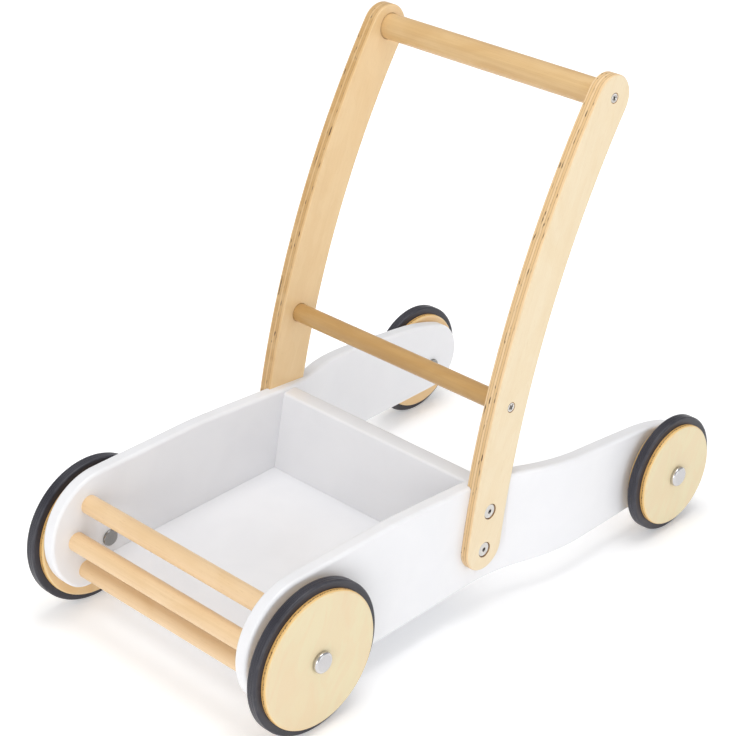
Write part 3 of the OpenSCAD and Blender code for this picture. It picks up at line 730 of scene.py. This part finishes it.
def pocket(left):
    u = uprightBoard
    outline = uprightOutline(u["pocketGap"])
    bm = slab(outline, u["near"], u["pocketTo"], u["pocketEdge"], steps=2, support=u["pocketEdge"])
    if left:
        mirror(bm)
    return loose("cutter", bm)


for side, left in (("right", False), ("left", True)):
    panel = sidePanel(side + "SidePanel", side + "_side_panel", left)
    carve(panel, [pocket(left)], crease=30.0)
    upright(side + "Upright", side + "_upright", left)

print("stage: floor and back of the tray")

trayLook = {
    "floor": (-232.99, 45.0, 55.0), "floorHalf": 116.9, "floorEdge": 1.1,
    "backMid": (-1.27, 87.73), "backHalf": 9.17, "backLean": 11.0, "backTop": 131.0, "backEdge": 3.0,
    "jointEdge": 0.6, "hiddenEdge": 0.4, "gap": 0.1, "endShare": 0.995,
}


def backY(z):
    t = trayLook
    return t["backMid"][0] + (z - t["backMid"][1]) * math.tan(math.radians(t["backLean"]))


def crossBoard(name, cadNode, corners, reach):
    # A board across the tray from its section in (y, z), ending where reach(y) says
    bm = bmesh.new()
    edge = bm.verts.layers.float.new("edge")
    section = softCorners(corners, True, 5)
    end = trayLook["endShare"]
    shares = [-1.0, -end] + [k / 8 - 1 for k in range(1, 16)] + [end, 1.0]
    rings = []
    for share in shares:
        ring = []
        for (y, z), mark in section:
            vert = bm.verts.new((share * reach(y), y, z))
            vert[edge] = mark
            ring.append(vert)
        rings.append(ring)
    walled(bm, rings)
    finished(name, bm, [lacquer], "frame", [cadNode])


frontY, lowZ, highZ = trayLook["floor"]
topZ, halfY = trayLook["backTop"], trayLook["backHalf"]
floorR, backR, jointR = trayLook["floorEdge"], trayLook["backEdge"], trayLook["jointEdge"]
crossBoard(
    "trayFloor", "floor_panel",
    [(frontY, lowZ, floorR), (backY(lowZ) - halfY, lowZ, trayLook["hiddenEdge"]),
     (backY(highZ) - halfY, highZ, jointR), (frontY, highZ, floorR)],
    lambda y: trayLook["floorHalf"],
)
crossBoard(
    "trayBack", "back_panel",
    [(backY(lowZ) - halfY, lowZ, jointR), (backY(lowZ) + halfY, lowZ, backR),
     (backY(topZ) + halfY, topZ, backR), (backY(topZ) - halfY, topZ, backR)],
    lambda y: panelX(y, -panelLook["thick"] / 2) - trayLook["gap"],
)

print("stage: dowels and bars")

rodLook = {
    "dowels": {"upper": (-243.28, 115.36), "middle": (-260.48, 84.15), "lower": (-251.29, 50.85)},
    "dowel": {"r": 9.0, "reach": 124.9, "edge": 0.8},
    "cross": {"r": 9.0, "reach": 129.4, "edge": 0.9},
    "handle": {"r": 12.25, "reach": 129.4, "edge": 0.9},
}


def rod(name, cadNode, at, look, wood):
    r, reach, edgeR = look["r"], look["reach"], look["edge"]
    corners = [(0, -reach, 0), (r, -reach, edgeR), (r, reach, edgeR), (0, reach, 0)]
    bm = turned(softCorners(corners, False, 4), at, 1, 72)
    finished(name, bm, [wood], "frame", [cadNode])


for spot, at in rodLook["dowels"].items():
    rod(spot + "Dowel", "front_dowel_" + spot, at, rodLook["dowel"], dowelWood)
rod("crossBar", "cross_bar", uprightBoard["cross"], rodLook["cross"], crossShadedWood)
rod("handleBar", "handle_bar", uprightBoard["handle"], rodLook["handle"], handleWood)

print("stage: wheels")

wheelLook = {
    "front": {"axle": (-223.0, 71.0), "from": 132.6, "discR": 63.8, "tyreR": 71.0, "panel": 117.0},
    "rear": {"axle": (236.0, 58.0), "from": 156.6, "discR": 50.8, "tyreR": 58.0, "panel": 141.0},
    "thick": 20.5, "discEdge": 2.4, "bore": 7.1, "boreEdge": 0.4, "innerSkin": 0.4,
    "groove": 3.0, "grooveEdge": 0.35, "grooveFoot": 0.2,
    "tyreW": 10.0, "tyreGap": 0.1, "shoulder": 1.7, "heel": 0.3,
    "lineAt": 1.3, "lineHalf": 0.35, "lineDeep": 0.25,
    "capGap": 0.4, "capFoot": 0.25, "dome": 0.5, "domeAt": 0.35, "domeEase": 0.12,
    "outerCap": {"r": 10.0, "h": 4.5, "edge": 2.3}, "innerCap": {"r": 8.0, "h": -2.5, "edge": 1.0},
}


def wheel(end, side):
    w, e = wheelLook, wheelLook[end]
    sign = 1 if side == "right" else -1
    name, cadNode = f"{end}{side.title()}", f"{end}_{side}_"
    body = cadNode + "wheel"
    near, far = e["from"], e["from"] + w["thick"]
    mid, halfW = (near + far) / 2, w["tyreW"] / 2
    rim, floor = e["discR"], e["discR"] - w["groove"]
    disc = [
        (w["bore"], near, w["boreEdge"]), (rim, near, w["discEdge"]),
        (rim, mid - halfW, w["grooveEdge"]), (floor, mid - halfW, w["grooveFoot"]),
        (floor, mid + halfW, w["grooveFoot"]), (rim, mid + halfW, w["grooveEdge"]),
        (rim, far, w["discEdge"]), (w["bore"], far, w["boreEdge"]),
    ]
    bm = turned(softCorners(disc, True, 6), e["axle"], sign, 160, closed=True)
    # Faces towards the panel take the redder copy: painted shade and painted reflected warmth
    for face in bm.faces:
        if abs(face.calc_center_median().x) - near < w["innerSkin"]:
            face.material_index = 1
    woods = [frontWheelWood, frontInnerShadedWood] if end == "front" else [rearWheelWood, rearInnerShadedWood]
    finished(name + "Disc", bm, woods, body, [cadNode + "disc"])
    slim, foot = halfW - w["tyreGap"], floor + w["tyreGap"]
    tread, dip, line = e["tyreR"], e["tyreR"] - w["lineDeep"], w["lineHalf"]
    tyre = [(foot, mid - slim, w["heel"]), (tread, mid - slim, w["shoulder"])]
    for x in (-w["lineAt"], w["lineAt"]):  # shallow mould lines
        tyre += [(tread, mid + x - line, 0), (dip, mid + x, 0), (tread, mid + x + line, 0)]
    tyre += [(tread, mid + slim, w["shoulder"]), (foot, mid + slim, w["heel"])]
    bm = turned(softCorners(tyre, True, 7), e["axle"], sign, 160, closed=True)
    finished(name + "Tyre", bm, [rubber], body, [cadNode + "tyre"])
    cap(name + "OuterCap", cadNode + "outer_cap", e["axle"], far + w["capGap"], w["outerCap"], sign, steel)
    cap(name + "InnerCap", cadNode + "inner_cap", e["axle"], e["panel"], w["innerCap"], sign, dullShadedCapSteel)


def cap(name, cadNode, axle, seat, look, sign, metal):
    # A pressed cap with a rounded rim and a slightly domed face
    w = wheelLook
    r, face = look["r"], seat + look["h"]
    dome = math.copysign(w["dome"], look["h"])
    corners = [(0, seat, 0), (r, seat, w["capFoot"]), (r, face - dome, look["edge"]),
               (w["domeAt"] * r, face - w["domeEase"] * dome, 0), (0, face, 0)]
    bm = turned(softCorners(corners, False, 7), axle, sign, 72)
    finished(name, bm, [metal], "frame", [cadNode], crease=40.0)


for end in ("front", "rear"):
    for side in ("right", "left"):
        wheel(end, side)

print("stage: bolts and screws")

fixingLook = {
    "bolt": {
        "face": 138.75, "seat": 135.8, "end": 96.0, "r": 3.0, "tipEdge": 0.5,
        "headR": 7.0, "footEdge": 0.2, "headEdge": 0.7, "dome": 0.45, "domeAt": 0.45, "domeEase": 0.06,
        "hexR": 1.8, "hexTurn": 15, "deep": 2.1, "reach": 2.4,
    },
    "screw": {
        "face": 138.9, "cone": 2.3, "end": 105.0, "r": 2.2, "tipEdge": 0.6,
        "headR": 4.4, "lip": 0.3, "lipEdge": 0.08, "faceEdge": 0.2,
        "crossLong": 4.6, "crossWide": 1.05, "crossTurn": 24, "deep": 1.7, "reach": 2.8,
    },
    # The last two give the depth below the face that takes the painted shade of the recesses
    "cutPast": 2.0, "recessShadeFrom": 0.1, "recessShadeTo": 2.2,
}


def prism(points, near, far, at, side):
    # Straight cutter from a section in (y, z)
    bm = bmesh.new()
    rings = [[bm.verts.new((side * x, at[0] + y, at[1] + z)) for y, z in points] for x in (near, far)]
    walled(bm, rings)
    return loose("cutter", bm)


def joined(name, parts, cadNode, spots, look):
    # Several small fixings kept as one piece, as the CAD keeps them, with the tool recesses darkened by
    # painted shade
    f = fixingLook
    bm = bmesh.new()
    for part in parts:
        bm.from_mesh(part.data)
        drop(part)
    bmesh.ops.scale(bm, vec=(1 / mm, 1 / mm, 1 / mm), verts=bm.verts)
    # Faces down in the tool recesses get the dark steel: painted shade
    for face in bm.faces:
        x, y, z = face.calc_center_median()
        near = min(math.hypot(y - spot[0], z - spot[1]) for spot in spots)
        if near < look["reach"] and f["recessShadeFrom"] < look["face"] - abs(x) < f["recessShadeTo"]:
            face.material_index = 1
    finished(name, bm, [boltSteel, recessPaintedShadeSteel], "frame", [cadNode], crease=30.0)


def fixing(corners, recess, look, at, side):
    # A turned fixing with a recess for its tool
    part = loose("fixing", turned(softCorners(corners, False, 4), at, side, 48))
    carve(part, [prism(recess, look["face"] - look["deep"], look["face"] + fixingLook["cutPast"], at, side)])
    part.modifiers.clear()
    return part


def bolt(at, side):
    b = fixingLook["bolt"]
    face, seat, end = b["face"], b["seat"], b["end"]
    corners = [(0, end, 0), (b["r"], end, b["tipEdge"]), (b["r"], seat, 0), (b["headR"], seat, b["footEdge"]),
               (b["headR"], face - b["dome"], b["headEdge"]),
               (b["domeAt"] * b["headR"], face - b["domeEase"], 0), (0, face, 0)]
    turns = [math.radians(b["hexTurn"] + 60 * k) for k in range(6)]
    hexagon = [(b["hexR"] * math.cos(turn), b["hexR"] * math.sin(turn)) for turn in turns]
    return fixing(corners, hexagon, b, at, side)


def screw(at, side):
    s = fixingLook["screw"]
    face, end = s["face"], s["end"]
    corners = [(0, end, 0), (s["r"], end, s["tipEdge"]), (s["r"], face - s["cone"], 0),
               (s["headR"], face - s["lip"], s["lipEdge"]), (s["headR"] - s["lip"], face, s["faceEdge"]),
               (0, face, 0)]
    a, b = s["crossLong"] / 2, s["crossWide"] / 2
    star = [(a, -b), (a, b), (b, b), (b, a), (-b, a), (-b, b),
            (-a, b), (-a, -b), (-b, -b), (-b, -a), (b, -a), (b, -b)]
    c, d = math.cos(math.radians(s["crossTurn"])), math.sin(math.radians(s["crossTurn"]))
    star = [(y * c - z * d, y * d + z * c) for y, z in star]
    return fixing(corners, star, s, at, side)


spots = uprightBoard["bolts"]
parts = [bolt(at, side) for side in (1, -1) for at in spots]
joined("uprightBolts", parts, "upright_bolts", spots, fixingLook["bolt"])
for bar in ("handle", "cross"):
    spot = uprightBoard[bar]
    parts = [screw(spot, side) for side in (1, -1)]
    joined(bar + "Screws", parts, bar + "_bar_screws", [spot], fixingLook["screw"])

print("stage: plain fittings kept from the CAD")

keptLook = {
    "floor_pegs": dowelWood, "back_panel_pegs": dowelWood, "bolt_inserts": steel, "wheel_washers": steel,
}
for end in ("front", "rear"):
    for side in ("left", "right"):
        keptLook[f"{end}_{side}_axle"] = steel
        keptLook[f"{end}_{side}_bush"] = nylon
for name, material in keptLook.items():
    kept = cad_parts[name]
    kept.data.materials.clear()
    kept.data.materials.append(material)

print("stage: floor, light and camera")

stageLook = {
    "floorHalf": 9.0, "light": (0.93, 0.93, 0.935, 1), "shade": (0.915, 0.915, 0.92, 1),
    "glowNear": (0.53, 0.545, 0.565, 1), "glowFar": (1.0, 1.0, 1.0, 1), "glowMid": (0.22, 0.11, 0.0),
    "glowFrom": 0.12, "glowTo": 0.72, "rough": (0.75, 0.85),
}
paper, tree, shader = newMaterial("studioPaper", {"Specular IOR Level": 0.1, "Emission Strength": 0.34})
skin = useGroup(tree, skinGroup, {0: place(tree)})
colour = tint(tree, skin["Cloud"], stageLook["shade"], stageLook["light"])
paint(tree, shader, colour, spread(tree, skin["Cloud"], *stageLook["rough"]))
# Painted light: the paper glows, less and a little bluer near the walker so the shade there reads deeper and
# the warm bounce off the wood is cancelled, more away from it
inputs = {0: place(tree), 1: stageLook["glowMid"]}
away = node(tree, "ShaderNodeVectorMath", inputs, operation="DISTANCE").outputs["Value"]
glow = fade(tree, away, stageLook["glowFrom"], stageLook["glowTo"])
glow = tint(tree, glow, stageLook["glowNear"], stageLook["glowFar"])
tree.links.new(glow, shader.inputs["Emission Color"])
bm = bmesh.new()
half = stageLook["floorHalf"]
corners = ((-half, -half), (half, -half), (half, half), (-half, half))
bm.faces.new([bm.verts.new((x, y, 0)) for x, y in corners])
mesh = bpy.data.meshes.new("studioFloor")
bm.to_mesh(mesh)
bm.free()
mesh.materials.append(paper)
studioFloor = bpy.data.objects.new("studioFloor", mesh)
bpy.context.collection.objects.link(studioFloor)


def aimed(name, thing, at, target):
    # A lamp or a camera at one point, turned to another
    made = bpy.data.objects.new(name, thing)
    made.location = at
    made.rotation_mode = "QUATERNION"
    made.rotation_quaternion = (Vector(target) - Vector(at)).to_track_quat("-Z", "Y")
    bpy.context.collection.objects.link(made)
    return made


lightLook = {
    "bright": 0.63, "dim": 0.34, "from": (0.50, -0.60, 0.62), "turnFade": (-0.6, 0.4),
    "low": 0.44, "lowTop": 0.30, "target": (0, 0, 0.15),
    "key": {"at": (1.3, -3.1, 1.15), "size": 1.6, "power": 25.0},
    "side": {"at": (2.8, 0.45, 0.8), "size": 1.6, "power": 7.0},
    "fill": {"at": (0.1, 0.2, 2.7), "size": 1.8, "power": 30.0},
}
world = bpy.data.worlds.new("studioDome")
bpy.context.scene.world = world
bpy.context.scene.view_settings.view_transform = "Standard"  # keeps whites as bright as the photograph's
world.use_nodes = True
tree = world.node_tree
way = node(tree, "ShaderNodeTexCoord").outputs["Generated"]
inputs = {0: way, 1: lightLook["from"]}
toward = node(tree, "ShaderNodeVectorMath", inputs, operation="DOT_PRODUCT").outputs["Value"]
share = spread(tree, fade(tree, toward, *lightLook["turnFade"]), lightLook["dim"], lightLook["bright"])
height = node(tree, "ShaderNodeSeparateXYZ", {0: way}).outputs["Z"]
low = fade(tree, height, lightLook["lowTop"], 0.0)  # a pale horizon
low = calc(tree, "MULTIPLY", low, lightLook["low"])
tree.links.new(calc(tree, "ADD", share, low), tree.nodes["Background"].inputs["Strength"])
tree.nodes["Background"].inputs["Color"].default_value = (1.0, 1.0, 1.0, 1)
for name in ("key", "side", "fill"):
    look = lightLook[name]
    lamp = bpy.data.lights.new(name + "Light", "AREA")
    lamp.shape = "DISK"
    lamp.size = look["size"]
    lamp.energy = look["power"]
    aimed(name + "Light", lamp, look["at"], lightLook["target"])

cameraLook = {
    "at": (1.16159, -1.21757, 1.12166), "target": (-0.00193, -0.0055, 0.20323), "lens": 103.26,
    "sensor": 36.0, "clipStart": 0.05,
}
lens = bpy.data.cameras.new("photoCamera")
lens.lens = cameraLook["lens"]
lens.sensor_width = cameraLook["sensor"]
lens.clip_start = cameraLook["clipStart"]
bpy.context.scene.camera = aimed("photoCamera", lens, cameraLook["at"], cameraLook["target"])

print("stage: done")
